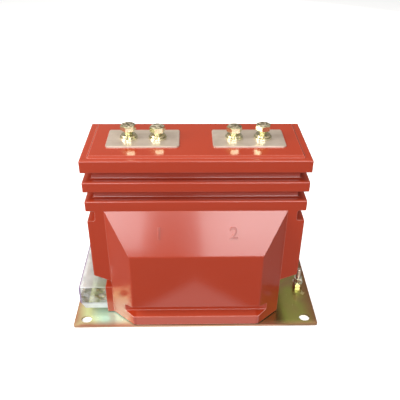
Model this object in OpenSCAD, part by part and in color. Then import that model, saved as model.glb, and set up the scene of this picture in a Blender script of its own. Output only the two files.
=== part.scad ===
// Indoor current transformer, cast resin support type.
// Millimetres. X runs along the base plate from the secondary terminals to the
// earthing stud, Y runs from front to back, Z is up. The origin is the middle
// of the base plate's underside.

/* [Base plate] */
// Length of the steel base plate along X
plate_l = 372; // [340:1:460]
// Depth of the base plate along Y
plate_w = 180; // [170:1:230]
// Thickness of the base plate
plate_t = 3; // [2:0.5:6]
// Corner radius of the base plate
plate_r = 4; // [1:0.5:12]
// Length of a mounting slot along X
slot_l = 16; // [12:0.5:24]
// Width of a mounting slot along Y
slot_w = 14; // [9:0.5:18]
// Slot centre to the short edge of the plate
slot_edge_x = 18; // [12:0.5:30]
// Slot centre to the long edge of the plate
slot_edge_y = 15; // [11:0.5:30]

/* [Casting, top] */
// Height of the casting from the plate to the slab's top
cast_h = 266; // [240:0.5:330]
// Length of the top slab along X
top_l = 307.6; // [290:0.2:380]
// Depth of slab and skirts along Y
top_w = 120; // [100:1:150]
// Set back of each tier's ends from the ends of the tier above it
tier_step = 0.6; // [0.1:0.1:2]
// Thickness of the top slab
slab_t = 18.6; // [8:0.2:22]
// Thickness of a skirt
skirt_t = 15.8; // [8:0.2:18]
// Open height between slab and skirts
skirt_gap = 13.8; // [10:0.1:25]
// Reach of skirts and wings beyond the neck
skirt_reach = 11.5; // [6:0.5:16]
// Rounding of skirt edges
rim_r = 2; // [0.5:0.25:4]
// Rounding where skirt meets neck
neck_r = 2.5; // [0.5:0.25:5]
// Rounding of the upright corners of slab and skirts
corner_r = 1.5; // [1:0.5:8]
// Height of the slot above each wing
notch_h = 16; // [8:0.5:24]
// Height of the raised pad on the slab
pad_h = 3; // [1:0.2:6]
// Distance from the slab's edge to the pad
pad_inset_x = 9.4; // [5:0.2:20]
// Distance from the slab's long edge to the pad
pad_inset_y = 7.4; // [5:0.2:20]
// Corner radius of the pad
pad_r = 4; // [1:0.5:10]
// Bevel of the pad's top edge
pad_bevel = 2.8; // [0.2:0.1:4]

/* [Casting, belly and wings] */
// Depth of the belly along Y
belly_w = 178; // [160:1:220]
// Length of the belly's flat front
front_l = 188; // [150:1:230]
// Height of the sloped face that leads to the front
slope_h = 58.4; // [40:0.2:80]
// Rounding between sloped face and front
brow_r = 6; // [1:0.5:15]
// Rounding between front and chamfered side
cheek_r = 4; // [1:0.5:12]
// Reach of a wing beyond the belly's side
wing_reach = 25; // [15:0.5:40]
// Height of a wing's outer lower edge above the plate
wing_low = 74.6; // [60:0.2:110]
// Rise of a wing's underside towards its outer edge
wing_rise = 11; // [2:0.2:20]
// Rounding of a wing's lower edge
wing_r = 3; // [1:0.5:8]

/* [Casting, foot] */
// Height of the shadow gap under the casting
foot_gap_h = 1.2; // [0.5:0.1:3]
// Depth of the shadow gap under the casting
foot_gap_d = 3; // [1:0.5:8]
// Height of the groove's lower edge above the plate
groove_low = 17; // [12:0.5:30]
// Height of the groove's mouth
groove_mouth = 19.6; // [14:0.2:30]
// Height of the groove's floor wall
groove_floor = 12; // [6:0.5:18]
// Depth of the groove
groove_d = 11.6; // [5:0.2:18]
// Rounding in and around the groove
groove_r = 1.5; // [0.5:0.25:3]

/* [Primary terminals] */
// Free length between the two terminal blocks
terminal_gap = 46; // [30:1:100]
// Pitch of the two bolts of one terminal
bolt_pitch = 40; // [34:1:60]
// Bolt centre to the terminal's end
bolt_edge = 30; // [16:1:40]
// Depth of a terminal block along Y
terminal_w = 54; // [40:1:70]
// Height of a terminal block
terminal_t = 30; // [26:0.5:40]
// Height of a terminal block above the pad
terminal_proud = 2; // [0.6:0.2:6]
// Corner radius of a terminal block
terminal_r = 5; // [1:0.5:12]
// Bevel of a terminal's top edge
terminal_bevel = 0.8; // [0.2:0.1:2]
// Terminal bolt thread
bolt_d = 12; // [10:1:16]
// Terminal bolt length under the head
bolt_l = 35; // [30:1:50]
// Terminal bolt width across flats
bolt_af = 19; // [16:1:24]
// Terminal bolt head height
bolt_head = 7.5; // [6:0.5:10]
// Depth of a tapped hole
tapped_depth = 27; // [18:0.5:36]
// Flat washer outside diameter
flat_d = 25; // [20:0.5:32]
// How much wider than the thread the hole of a flat washer is
flat_room = 1; // [0.2:0.1:2]
// Flat washer thickness
flat_t = 2.5; // [1.5:0.1:3]
// Spring washer outside diameter
spring_d = 20.5; // [17:0.5:26]
// How much wider than the thread the hole of a spring washer is
spring_room = 0.4; // [0.1:0.1:1]
// Spring washer thickness
spring_t = 3.5; // [2:0.1:4.5]
// Opening of a split washer, in degrees
split_angle = 12; // [4:1:20]
// Bare thread under the heads of the two inner bolts
inner_lift = 4; // [0:0.1:9]
// Bare thread under the heads of the two outer bolts
outer_lift = 6.5; // [0:0.1:9]
// How far each bolt head is turned, from left to right
bolt_turn = [14, 13, 7, 15]; // [0:1:60]

/* [Primary conductor] */
// Width of the copper bar along Y
bar_w = 40; // [25:1:50]
// Thickness of the copper bar
bar_t = 12; // [6:0.5:16]
// Inside bend radius of the bar
bar_bend = 10; // [5:0.5:20]
// Resin between the bar and the foot of the slot above a wing
bar_cover = 8; // [5:0.5:14]

/* [Cores and windings] */
// Height of the core axis above the plate
core_axis = 93; // [85:0.5:110]
// Inside radius of a core
core_in = 36; // [32:0.5:44]
// Outside radius of a core
core_out = 67; // [56:0.5:70]
// Width of a core along X
core_w = 28; // [16:0.5:31]
// Thickness of the winding over its core
winding_t = 6; // [3:0.5:8]
// Resin between two windings
winding_gap = 4; // [2:0.5:10]
// Bevel of a winding's edges
winding_bevel = 4; // [1:0.5:5]

/* [Secondary terminals] */
// Depth of the terminal shelf beyond the belly
shelf_d = 10; // [6:0.5:20]
// Height of the terminal shelf above the plate
shelf_h = 51; // [45:0.5:60]
// Pitch of the secondary studs
stud_pitch = 14.4; // [12.5:0.1:15]
// Height of the secondary studs above the plate
stud_z = 24; // [20:0.5:30]
// Secondary stud thread
stud_d = 6; // [4:1:6]
// Free length of a secondary stud
stud_free = 20; // [17:0.5:28]
// Cast in length of a secondary stud
stud_root = 15; // [10:0.5:20]
// Flange diameter at the root of a secondary stud
stud_flange_d = 10; // [8:0.5:12]
// Flange thickness at the root of a secondary stud
stud_flange_t = 4; // [2:0.5:6]
// Secondary nut width across flats
stud_nut_af = 10; // [7:0.5:10]
// Secondary nut height
stud_nut_h = 5; // [3:0.1:5.5]
// Secondary washer diameter
stud_washer_d = 12; // [9:0.5:12.5]
// Secondary washer thickness
stud_washer_t = 1.4; // [0.8:0.1:1.8]
// Width of a lead strip
lead_w = 4; // [2:0.5:6]
// Thickness of a lead strip
lead_t = 1.5; // [0.8:0.1:2.5]
// Inside bend radius of a lead strip
lead_bend = 1.5; // [0.8:0.1:4]
// Height of the leads above the plate
lead_z = 9; // [7:0.5:11]
// Straight run of a lead behind its stud
lead_run = 6; // [4:0.5:10]

/* [Terminal cover] */
// Reach of the cover beyond the shelf
cover_d = 41; // [38:0.5:55]
// Wall of the cover
cover_wall = 2; // [1.5:0.1:4]
// Height of the cover's open lower edge above the plate
cover_low = 9; // [5:0.5:14]
// Height of the cover's sloped lower part
cover_chin_h = 12; // [6:0.5:16]
// Set back of the cover's sloped lower part
cover_chin_d = 7.3; // [3:0.1:12]
// Outside rounding of the cover's upper edge
cover_r = 3; // [2.5:0.25:6]
// Distance between the two cover screws
cover_screw_pitch = 57.6; // [40:0.2:80]
// Height of the cover screws above the plate
cover_screw_z = 41; // [39:0.5:44]
// Cover screw thread
cover_screw_d = 4; // [3:0.5:5]
// Cover screw head diameter
cover_head_d = 7; // [6:0.5:8.5]
// Cover screw head height
cover_head_h = 3; // [2:0.1:4]
// Free room around head and shank of a cover screw
cover_screw_room = 0.3; // [0.1:0.1:0.6]
// Depth of a head below the cover's face
cover_head_sink = 0.8; // [0:0.1:2]
// Wall of a screw sleeve
sleeve_wall = 1.6; // [1:0.1:2.5]
// Length of the inserts for the cover screws
cover_insert_l = 12; // [8:0.5:16]
// Diameter of the inserts for the cover screws
cover_insert_d = 8; // [6.5:0.5:10]
// Thread left open behind the tip of a cover screw
cover_screw_spare = 2; // [1:0.5:4]

/* [Earthing stud] */
// Stud centre to the short edge of the plate
earth_edge = 16; // [12:0.5:24]
// Earthing stud thread
earth_d = 8; // [6:1:12]
// Top of the earthing stud above the plate
earth_h = 34; // [28:0.5:45]
// Earthing nut width across flats
earth_nut_af = 13; // [10:0.5:19]
// Earthing nut height
earth_nut_h = 6.5; // [5:0.1:10]
// Earthing washer diameter
earth_washer_d = 16.5; // [12:0.5:24]
// How much wider than the thread the holes of the earthing washers are
earth_room = 0.4; // [0.1:0.1:1]
// Earthing washer thickness
earth_washer_t = 1.6; // [1:0.1:2.5]
// Earthing spring washer diameter
earth_spring_d = 14; // [11:0.5:20]
// Earthing spring washer thickness
earth_spring_t = 2; // [1.5:0.1:3]
// How far the earthing nuts are turned
earth_turn = [8, 22]; // [0:1:60]

/* [Fixing of the plate] */
// Thread of the fixing screws
screw_d = 6; // [5:1:6]
// Screw thread in an insert
screw_grip = 10; // [8:0.5:14]
// Diameter of a foot insert
insert_d = 14; // [11:0.5:16]
// Height of a foot insert
insert_h = 14; // [13:0.5:16]
// Distance between neighbouring inserts along X
insert_pitch = 80; // [60:1:90]
// Insert centre to the belly's front
insert_edge = 19; // [14:0.5:20]
// Thread left open behind the tip of a fixing screw
screw_spare = 2; // [1:0.5:3]

/* [Hidden] */

// Sides of a round surface
$fn = 36;
// Steps in a rounded corner
steps = 4;
// Extra length of a cut beyond the surface it opens
over = 1;
// Chamfer angle of nuts and bolt heads
chamfer_angle = 30;
// Corners of a hexagon
hex = 6;

// Levels of the casting
foot_z = plate_t;
top_z = plate_t + cast_h;
slab_low = top_z - slab_t;
skirt_a_top = slab_low - skirt_gap;
skirt_a_low = skirt_a_top - skirt_t;
skirt_b_top = skirt_a_low - skirt_gap;
skirt_b_low = skirt_b_top - skirt_t;
wing_top = skirt_b_low - notch_h;
slope_low = skirt_b_low - slope_h;
pad_top = top_z + pad_h;

// Half sizes of the casting
slab_x = top_l / 2;
skirt_a_x = slab_x - tier_step;
skirt_b_x = skirt_a_x - tier_step;
wing_x = skirt_b_x - tier_step;
top_y = top_w / 2;
neck_x = wing_x - skirt_reach;
neck_y = top_y - skirt_reach;
belly_x = wing_x - wing_reach;
belly_y = belly_w / 2;
front_x = front_l / 2;

// Primary terminals
terminal_l = bolt_pitch + 2 * bolt_edge;
terminal_x = (terminal_gap + terminal_l) / 2;
terminal_top = pad_top + terminal_proud;
terminal_low = terminal_top - terminal_t;
washer_z = terminal_top + flat_t;
head_z = washer_z + spring_t;
bolt_x = [-terminal_x - bolt_pitch / 2, -terminal_x + bolt_pitch / 2,
    terminal_x - bolt_pitch / 2, terminal_x + bolt_pitch / 2];
bolt_lift = [outer_lift, inner_lift, inner_lift, outer_lift];

// Cores, windings and conductor
core_z = plate_t + core_axis;
winding_in = core_in - winding_t;
winding_out = core_out + winding_t;
winding_w = core_w + 2 * winding_t;
winding_pitch = winding_w + winding_gap;
windings = 4;
leg_x = neck_x - bar_cover - bar_t / 2;
bar_high = (skirt_b_top + skirt_b_low) / 2;

// Secondary terminals and cover
shelf_x = -belly_x - shelf_d;
shelf_top = plate_t + shelf_h;
stud_level = plate_t + stud_z;
stud_y = [for (i = [0 : 2 * windings - 1]) (i - windings + 0.5) * stud_pitch];
stud_washer_x = shelf_x - stud_nut_h;
stud_nut_x = stud_washer_x - 2 * stud_washer_t;
root_x = shelf_x + stud_root;
cover_x = shelf_x - cover_d;
cover_foot = plate_t + cover_low;
chin_top = cover_foot + cover_chin_h;
chin_lean = atan(cover_chin_d / cover_chin_h);
cover_screw_level = plate_t + cover_screw_z;
cover_screw_y = [-cover_screw_pitch / 2, cover_screw_pitch / 2];
cover_seat_x = cover_x + cover_head_sink + cover_head_h;
sleeve_d = cover_head_d + 2 * cover_screw_room + 2 * sleeve_wall;

// Earthing stud
earth_x = plate_l / 2 - earth_edge;
earth_washer_z = plate_t + earth_nut_h;
earth_spring_z = earth_washer_z + earth_washer_t;
earth_upper_z = earth_spring_z + earth_spring_t;

// Fixing of the plate
screw_head_d = screw_d + 2 * plate_t;
insert_y = belly_y - insert_edge;
insert_places = [for (x = [-insert_pitch, 0, insert_pitch], y = [-insert_y, insert_y]) [x, y]];

// Vector of length one
function unit(v) = v / norm(v);

// Points of the corner p between a and b, rounded with radius r
function corner(a, p, b, r) =
    r == 0 ? [p] :
    let (
        u = unit(a - p),
        v = unit(b - p),
        half = acos(u * v) / 2,
        centre = p + unit(u + v) * r / sin(half),
        first = p + u * r / tan(half) - centre,
        last = p + v * r / tan(half) - centre,
        start = atan2(first[1], first[0]),
        sweep = (atan2(last[1], last[0]) - start + 540) % 360 - 180
    )
    [for (i = [0 : steps]) centre + r * [cos(start + sweep * i / steps), sin(start + sweep * i / steps)]];

// Outline with each corner rounded by its own radius
function rounded(points, radii) =
    let (n = len(points))
    [for (i = [0 : n - 1]) each corner(points[(i + n - 1) % n], points[i], points[(i + 1) % n], radii[i])];

// A list backwards
function backwards(list) = [for (i = [len(list) - 1 : -1 : 0]) list[i]];

// Left hand normal of the step from a to b
function normal(a, b) = [-unit(b - a)[1], unit(b - a)[0]];

// Path moved sideways, with mitred corners
function shifted(path, off) =
    let (n = len(path))
    [for (i = [0 : n - 1])
        i == 0 ? path[0] + off * normal(path[0], path[1]) :
        i == n - 1 ? path[i] + off * normal(path[i - 1], path[i]) :
        let (m = normal(path[i - 1], path[i]), k = normal(path[i], path[i + 1]))
        path[i] + off * (m + k) / (1 + m * k)];

// Bend radius at each point of the side that lies off from the path
function bends(path, off, r) =
    let (n = len(path))
    [for (i = [0 : n - 1])
        i == 0 || i == n - 1 ? 0 :
        cross(path[i] - path[i - 1], path[i + 1] - path[i]) * off > 0 ? r : r + 2 * abs(off)];

// Strip of thickness t along a path in the upright plane
module ribbon(path, t, r) {
    polygon(rounded(
        concat(shifted(path, t / 2), backwards(shifted(path, -t / 2))),
        concat(bends(path, t / 2, r), backwards(bends(path, -t / 2, r)))));
}

// Extrusion along Y of a shape drawn in X and Z
module along_y(half) {
    rotate([90, 0, 0])
        linear_extrude(2 * half, center = true)
            children();
}

// Extrusion along X of a shape drawn in Y and Z
module along_x(half) {
    rotate([90, 0, 90])
        linear_extrude(2 * half, center = true)
            children();
}

// Flat bar with rounded edges between two levels
module bar(half, low, high, r) {
    translate([-half + r, low])
        square([2 * (half - r), high - low]);
    translate([-half, low + r])
        square([2 * half, high - low - 2 * r]);
    for (side = [-1, 1], level = [low + r, high - r])
        translate([side * (half - r), level])
            circle(r);
}

// Neck between two levels, with rounded grooves cut from both sides
module neck(half, low, high, grooves) {
    difference() {
        translate([-half - neck_r, low])
            square([2 * (half + neck_r), high - low]);
        for (groove = grooves, side = [-1, 1])
            translate([side * (half + top_l), 0])
                bar(top_l, groove[0], groove[1], neck_r);
    }
}

// Rectangle with round corners
module plate_shape(l, w, r) {
    translate([0, -w / 2])
        bar(l / 2, 0, w, r);
}

// Slot with round ends
module slot_shape(l, w) {
    square([l - w, w], center = true);
    for (side = [-1, 1])
        translate([side * (l - w) / 2, 0])
            circle(w / 2);
}

// Outline of the casting seen from the front
module front_shape() {
    bar(slab_x, slab_low, top_z, rim_r);
    bar(skirt_a_x, skirt_a_low, skirt_a_top, rim_r);
    bar(skirt_b_x, skirt_b_low, skirt_b_top, rim_r);
    neck(neck_x, wing_top - over, top_z - over,
        [[skirt_a_top, slab_low], [skirt_b_top, skirt_a_low], [wing_top, skirt_b_low]]);
    for (side = [-1, 1])
        mirror([side < 0 ? 1 : 0, 0])
            polygon(rounded(
                [[0, foot_z + foot_gap_h],
                    [belly_x, foot_z + foot_gap_h],
                    [belly_x, plate_t + wing_low - wing_rise],
                    [wing_x, plate_t + wing_low],
                    [wing_x, wing_top],
                    [0, wing_top]],
                [0, 0, 0, wing_r, rim_r, 0]));
}

// Outline of slab, skirts and wings seen from the end
module end_shape() {
    bar(top_y, slab_low, top_z, rim_r);
    bar(top_y, skirt_a_low, skirt_a_top, rim_r);
    bar(top_y, foot_z - rim_r, skirt_b_top, rim_r);
    neck(neck_y, skirt_b_top - over, top_z - over, [[skirt_a_top, slab_low], [skirt_b_top, skirt_a_low]]);
}

// Outline of the belly seen from the end, with slope and clamping groove
module belly_shape() {
    low = plate_t + groove_low;
    floor_low = low + (groove_mouth - groove_floor) / 2;
    half = [[0, foot_z + foot_gap_h],
        [belly_y, foot_z + foot_gap_h],
        [belly_y, low],
        [belly_y - groove_d, floor_low],
        [belly_y - groove_d, floor_low + groove_floor],
        [belly_y, low + groove_mouth],
        [belly_y, slope_low],
        [top_y, skirt_b_low],
        [0, skirt_b_low]];
    radii = [0, 0, groove_r, groove_r, groove_r, groove_r, brow_r, 0, 0];
    for (side = [-1, 1])
        mirror([side < 0 ? 1 : 0, 0])
            polygon(rounded(half, radii));
}

// Outline of the belly seen from above, moved inwards by inset
module belly_plan(inset) {
    polygon(rounded(
        [[front_x - inset / 2, -belly_y + inset], [belly_x - inset, -top_y + inset / 2],
            [belly_x - inset, top_y - inset / 2], [front_x - inset / 2, belly_y - inset],
            [-front_x + inset / 2, belly_y - inset], [-belly_x + inset, top_y - inset / 2],
            [-belly_x + inset, -top_y + inset / 2], [-front_x + inset / 2, -belly_y + inset]],
        [cheek_r, 0, 0, cheek_r, cheek_r, 0, 0, cheek_r]));
}

// Block with bevelled top edges, standing on low
module bevelled(l, w, low, high, r, bevel) {
    intersection() {
        translate([0, 0, low])
            linear_extrude(high - low)
                plate_shape(l, w, r);
        along_y(w)
            polygon([[-l / 2, low], [l / 2, low], [l / 2, high - bevel], [l / 2 - bevel, high],
                [-l / 2 + bevel, high], [-l / 2, high - bevel]]);
        along_x(l)
            polygon([[-w / 2, low], [w / 2, low], [w / 2, high - bevel], [w / 2 - bevel, high],
                [-w / 2 + bevel, high], [-w / 2, high - bevel]]);
    }
}

// Block with round upright corners that holds one tier between two levels
module tier(half, low, high) {
    translate([0, 0, low])
        linear_extrude(high - low)
            plate_shape(2 * half, top_w, corner_r);
}

// Outside of the casting, before anything is cast into it
module casting() {
    intersection() {
        along_y(belly_y)
            front_shape();
        along_x(slab_x + over)
            end_shape();
        union() {
            tier(slab_x, slab_low, top_z);
            tier(skirt_a_x, skirt_a_low, slab_low);
            tier(skirt_b_x, skirt_b_low, skirt_a_low);
            tier(wing_x, foot_z, skirt_b_low);
        }
    }
    intersection() {
        along_x(belly_x)
            belly_shape();
        translate([0, 0, foot_z])
            linear_extrude(cast_h)
                belly_plan(0);
    }
    translate([0, 0, foot_z])
        linear_extrude(foot_gap_h + over)
            belly_plan(foot_gap_d);
    translate([shelf_x, -top_y, foot_z + foot_gap_h])
        cube([shelf_d + over, top_w, shelf_h - foot_gap_h]);
    translate([shelf_x + foot_gap_d, -top_y + foot_gap_d, foot_z])
        cube([shelf_d + over, top_w - 2 * foot_gap_d, foot_gap_h + over]);
    bevelled(top_l - 2 * pad_inset_x, top_w - 2 * pad_inset_y, top_z - over, pad_top, pad_r, pad_bevel);
}

// Terminal block without its tapped holes
module terminal_block(side) {
    translate([side * terminal_x, 0, 0])
        bevelled(terminal_l, terminal_w, terminal_low, terminal_top, terminal_r, terminal_bevel);
}

// Copper bar from terminal to terminal through the windows of the cores
module conductor() {
    along_y(bar_w / 2)
        ribbon(
            [[-terminal_x, terminal_low], [-terminal_x, bar_high], [-leg_x, bar_high], [-leg_x, core_z],
                [leg_x, core_z], [leg_x, bar_high], [terminal_x, bar_high], [terminal_x, terminal_low]],
            bar_t, bar_bend);
}

// Middle of winding n along X
function winding_x(n) = (n - (windings + 1) / 2) * winding_pitch;

// Toroid on the core axis with bevelled edges, in the place of winding n
module toroid(n, r_in, r_out, w, bevel) {
    translate([winding_x(n), 0, core_z])
        rotate([0, 90, 0])
            rotate_extrude()
                polygon([[r_in + bevel, -w / 2], [r_out - bevel, -w / 2], [r_out, -w / 2 + bevel],
                    [r_out, w / 2 - bevel], [r_out - bevel, w / 2], [r_in + bevel, w / 2],
                    [r_in, w / 2 - bevel], [r_in, -w / 2 + bevel]]);
}

// Ring of rectangular section on the core axis, in the place of core n
module ring(n) {
    translate([winding_x(n), 0, core_z])
        rotate([0, 90, 0])
            rotate_extrude()
                translate([core_in, -core_w / 2])
                    square([core_out - core_in, core_w]);
}

module winding_outside(n) {
    toroid(n, winding_in, winding_out, winding_w, winding_bevel);
}

// Strips from the roots of the studs to the windings
module leads() {
    bend_x = root_x + lead_run;
    difference() {
        for (i = [0 : len(stud_y) - 1])
            translate([0, stud_y[i], 0])
                along_y(lead_w / 2)
                    ribbon(
                        [[root_x, stud_level], [bend_x, stud_level], [bend_x, plate_t + lead_z],
                            [winding_x(1 + floor(i / 2)), plate_t + lead_z],
                            [winding_x(1 + floor(i / 2)), core_z - winding_in]],
                        lead_t, lead_bend);
        for (n = [1 : windings])
            winding_space(n);
    }
}

// Everything inside the outer surface of winding n, window included
module winding_space(n) {
    winding_outside(n);
    translate([winding_x(n) - winding_w / 2, 0, core_z])
        rotate([0, 90, 0])
            cylinder(winding_w, r = winding_in + winding_bevel);
}

// Round bar along X from x, with its other end at far
module rod_x(x, far, d) {
    translate([x, 0, 0])
        rotate([0, 90, 0])
            cylinder(far - x, d = d);
}

// Secondary stud with its cast in flange
module stud() {
    rod_x(shelf_x - stud_free, root_x, stud_d);
    rod_x(root_x - stud_flange_t, root_x, stud_flange_d);
}

module at_studs() {
    for (y = stud_y)
        translate([0, y, stud_level])
            children();
}

module at_cover_screws() {
    for (y = cover_screw_y)
        translate([0, y, cover_screw_level])
            children();
}

module at_inserts() {
    for (place = insert_places)
        translate([place[0], place[1], 0])
            children();
}

// Hexagon with chamfered corners, standing on the origin
module hexagon(af, h, chamfer_below) {
    r = af / 2 / cos(180 / hex);
    c = (r - af / 2) * tan(chamfer_angle);
    below = chamfer_below ? c : 0;
    intersection() {
        cylinder(h, r = r, $fn = hex);
        rotate_extrude()
            polygon([[0, 0], [chamfer_below ? af / 2 : r, 0], [r, below], [r, h - c], [af / 2, h], [0, h]]);
    }
}

// Hexagon nut standing on the origin
module nut(af, h, d) {
    difference() {
        hexagon(af, h, true);
        translate([0, 0, -over])
            cylinder(h + 2 * over, d = d);
    }
}

// Plain washer standing on the origin
module washer(d, hole, t) {
    difference() {
        cylinder(t, d = d);
        translate([0, 0, -over])
            cylinder(t + 2 * over, d = hole);
    }
}

// Split washer standing on the origin, open towards the front
module split_washer(d, hole, t) {
    rotate([0, 0, -90 + split_angle / 2])
        rotate_extrude(angle = 360 - split_angle)
            translate([hole / 2, 0])
                square([(d - hole) / 2, t]);
}

module resin_body() {
    color([0.66, 0.22, 0.15])
        difference() {
            casting();
            terminal_block(-1);
            terminal_block(1);
            conductor();
            for (n = [1 : windings])
                winding_outside(n);
            leads();
            at_studs()
                stud();
            at_cover_screws()
                rod_x(shelf_x - over, shelf_x + cover_insert_l, cover_insert_d);
            at_inserts()
                translate([0, 0, plate_t - over])
                    cylinder(insert_h + over, d = insert_d);
        }
}

module base_plate() {
    color([0.78, 0.70, 0.42])
        difference() {
            linear_extrude(plate_t)
                plate_shape(plate_l, plate_w, plate_r);
            for (x = [-1, 1], y = [-1, 1])
                translate([x * (plate_l / 2 - slot_edge_x), y * (plate_w / 2 - slot_edge_y), -over])
                    linear_extrude(plate_t + 2 * over)
                        slot_shape(slot_l, slot_w);
            translate([earth_x, 0, -over])
                cylinder(plate_t + 2 * over, d = earth_d);
            at_inserts()
                cylinder(plate_t, d1 = screw_head_d, d2 = screw_d);
        }
}

module terminal(side) {
    color([0.74, 0.72, 0.68])
        difference() {
            terminal_block(side);
            for (x = [-1, 1])
                translate([side * terminal_x + x * bolt_pitch / 2, 0, terminal_top - tapped_depth])
                    cylinder(tapped_depth + over, d = bolt_d);
        }
}

module terminal_left() {
    terminal(-1);
}

module terminal_right() {
    terminal(1);
}

module terminal_bolts() {
    color([0.80, 0.76, 0.55])
        for (i = [0 : len(bolt_x) - 1])
            translate([bolt_x[i], 0, head_z + bolt_lift[i]]) {
                rotate([0, 0, bolt_turn[i]])
                    hexagon(bolt_af, bolt_head, false);
                translate([0, 0, -bolt_l])
                    cylinder(bolt_l + over, d = bolt_d);
            }
}

module terminal_spring_washers() {
    color([0.72, 0.70, 0.52])
        for (x = bolt_x)
            translate([x, 0, washer_z])
                split_washer(spring_d, bolt_d + spring_room, spring_t);
}

module terminal_flat_washers() {
    color([0.82, 0.79, 0.60])
        for (x = bolt_x)
            translate([x, 0, terminal_top])
                washer(flat_d, bolt_d + flat_room, flat_t);
}

module primary_conductor() {
    color([0.72, 0.45, 0.28])
        conductor();
}

module core(n) {
    color([0.42, 0.43, 0.45])
        ring(n);
}

module core_1() {
    core(1);
}

module core_2() {
    core(2);
}

module core_3() {
    core(3);
}

module core_4() {
    core(4);
}

module winding(n) {
    color([0.70, 0.40, 0.20])
        difference() {
            winding_outside(n);
            ring(n);
        }
}

module winding_1() {
    winding(1);
}

module winding_2() {
    winding(2);
}

module winding_3() {
    winding(3);
}

module winding_4() {
    winding(4);
}

module secondary_leads() {
    color([0.74, 0.46, 0.28])
        leads();
}

module secondary_studs() {
    color([0.80, 0.66, 0.34])
        at_studs()
            stud();
}

module secondary_lock_nuts() {
    color([0.80, 0.66, 0.34])
        at_studs()
            translate([shelf_x, 0, 0])
                rotate([0, -90, 0])
                    nut(stud_nut_af, stud_nut_h, stud_d);
}

module secondary_washer(x) {
    color([0.82, 0.70, 0.40])
        at_studs()
            translate([x, 0, 0])
                rotate([0, -90, 0])
                    washer(stud_washer_d, stud_d, stud_washer_t);
}

module secondary_inner_washers() {
    secondary_washer(stud_washer_x);
}

module secondary_outer_washers() {
    secondary_washer(stud_washer_x - stud_washer_t);
}

module secondary_nuts() {
    color([0.80, 0.66, 0.34])
        at_studs()
            translate([stud_nut_x, 0, 0])
                rotate([0, -90, 0])
                    nut(stud_nut_af, stud_nut_h, stud_d);
}

// Outside of the cover in X and Z
module cover_outline() {
    polygon(rounded(
        [[shelf_x, shelf_top], [cover_x, shelf_top], [cover_x, chin_top],
            [cover_x + cover_chin_d, cover_foot], [shelf_x, cover_foot]],
        [0, cover_r, cover_r, 0, 0]));
}

// Inside of the cover in X and Z, open towards shelf and plate
module cover_inside() {
    low_x = cover_x + cover_chin_d + cover_wall / cos(chin_lean) + over * tan(chin_lean);
    polygon(rounded(
        [[shelf_x + over, shelf_top - cover_wall], [cover_x + cover_wall, shelf_top - cover_wall],
            [cover_x + cover_wall, chin_top + cover_wall * tan(chin_lean / 2)],
            [low_x, cover_foot - over], [shelf_x + over, cover_foot - over]],
        [0, cover_r - cover_wall, cover_r - cover_wall, 0, 0]));
}

module terminal_cover() {
    color([0.85, 0.86, 0.88, 0.35])
        difference() {
            union() {
                difference() {
                    along_y(top_y)
                        cover_outline();
                    along_y(top_y - cover_wall)
                        cover_inside();
                }
                at_cover_screws()
                    rod_x(cover_x + cover_wall / 2, shelf_x, sleeve_d);
            }
            at_cover_screws() {
                rod_x(cover_x - over, cover_seat_x, cover_head_d + 2 * cover_screw_room);
                rod_x(cover_x - over, shelf_x + over, cover_screw_d + 2 * cover_screw_room);
            }
        }
}

module cover_screws() {
    color([0.75, 0.74, 0.70])
        at_cover_screws() {
            rod_x(cover_seat_x - cover_head_h, cover_seat_x, cover_head_d);
            rod_x(cover_seat_x - over, shelf_x + cover_insert_l - 2 * cover_screw_spare, cover_screw_d);
        }
}

module cover_inserts() {
    color([0.80, 0.66, 0.34])
        at_cover_screws()
            difference() {
                rod_x(shelf_x, shelf_x + cover_insert_l, cover_insert_d);
                rod_x(shelf_x - over, shelf_x + cover_insert_l - cover_screw_spare, cover_screw_d);
            }
}

module base_inserts() {
    color([0.80, 0.66, 0.34])
        at_inserts()
            translate([0, 0, plate_t])
                difference() {
                    cylinder(insert_h, d = insert_d);
                    translate([0, 0, -over])
                        cylinder(over + screw_grip + screw_spare, d = screw_d);
                }
}

module base_screws() {
    color([0.80, 0.76, 0.55])
        at_inserts() {
            cylinder(plate_t, d1 = screw_head_d, d2 = screw_d);
            translate([0, 0, plate_t - over])
                cylinder(screw_grip + over, d = screw_d);
        }
}

module at_earth(z) {
    translate([earth_x, 0, z])
        children();
}

module earth_stud() {
    color([0.72, 0.70, 0.66])
        at_earth(0)
            cylinder(plate_t + earth_h, d = earth_d);
}

module earth_lower_nut() {
    color([0.80, 0.76, 0.55])
        at_earth(plate_t)
            rotate([0, 0, earth_turn[0]])
                nut(earth_nut_af, earth_nut_h, earth_d);
}

module earth_washer() {
    color([0.82, 0.79, 0.60])
        at_earth(earth_washer_z)
            washer(earth_washer_d, earth_d + earth_room, earth_washer_t);
}

module earth_spring_washer() {
    color([0.72, 0.70, 0.52])
        at_earth(earth_spring_z)
            split_washer(earth_spring_d, earth_d + earth_room, earth_spring_t);
}

module earth_upper_nut() {
    color([0.80, 0.76, 0.55])
        at_earth(earth_upper_z)
            rotate([0, 0, earth_turn[1]])
                nut(earth_nut_af, earth_nut_h, earth_d);
}

resin_body();
base_plate();
terminal_left();
terminal_right();
terminal_bolts();
terminal_spring_washers();
terminal_flat_washers();
primary_conductor();
core_1();
core_2();
core_3();
core_4();
winding_1();
winding_2();
winding_3();
winding_4();
secondary_leads();
secondary_studs();
secondary_lock_nuts();
secondary_inner_washers();
secondary_outer_washers();
secondary_nuts();
terminal_cover();
cover_screws();
cover_inserts();
base_inserts();
base_screws();
earth_stud();
earth_lower_nut();
earth_washer();
earth_spring_washer();
earth_upper_nut();
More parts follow.
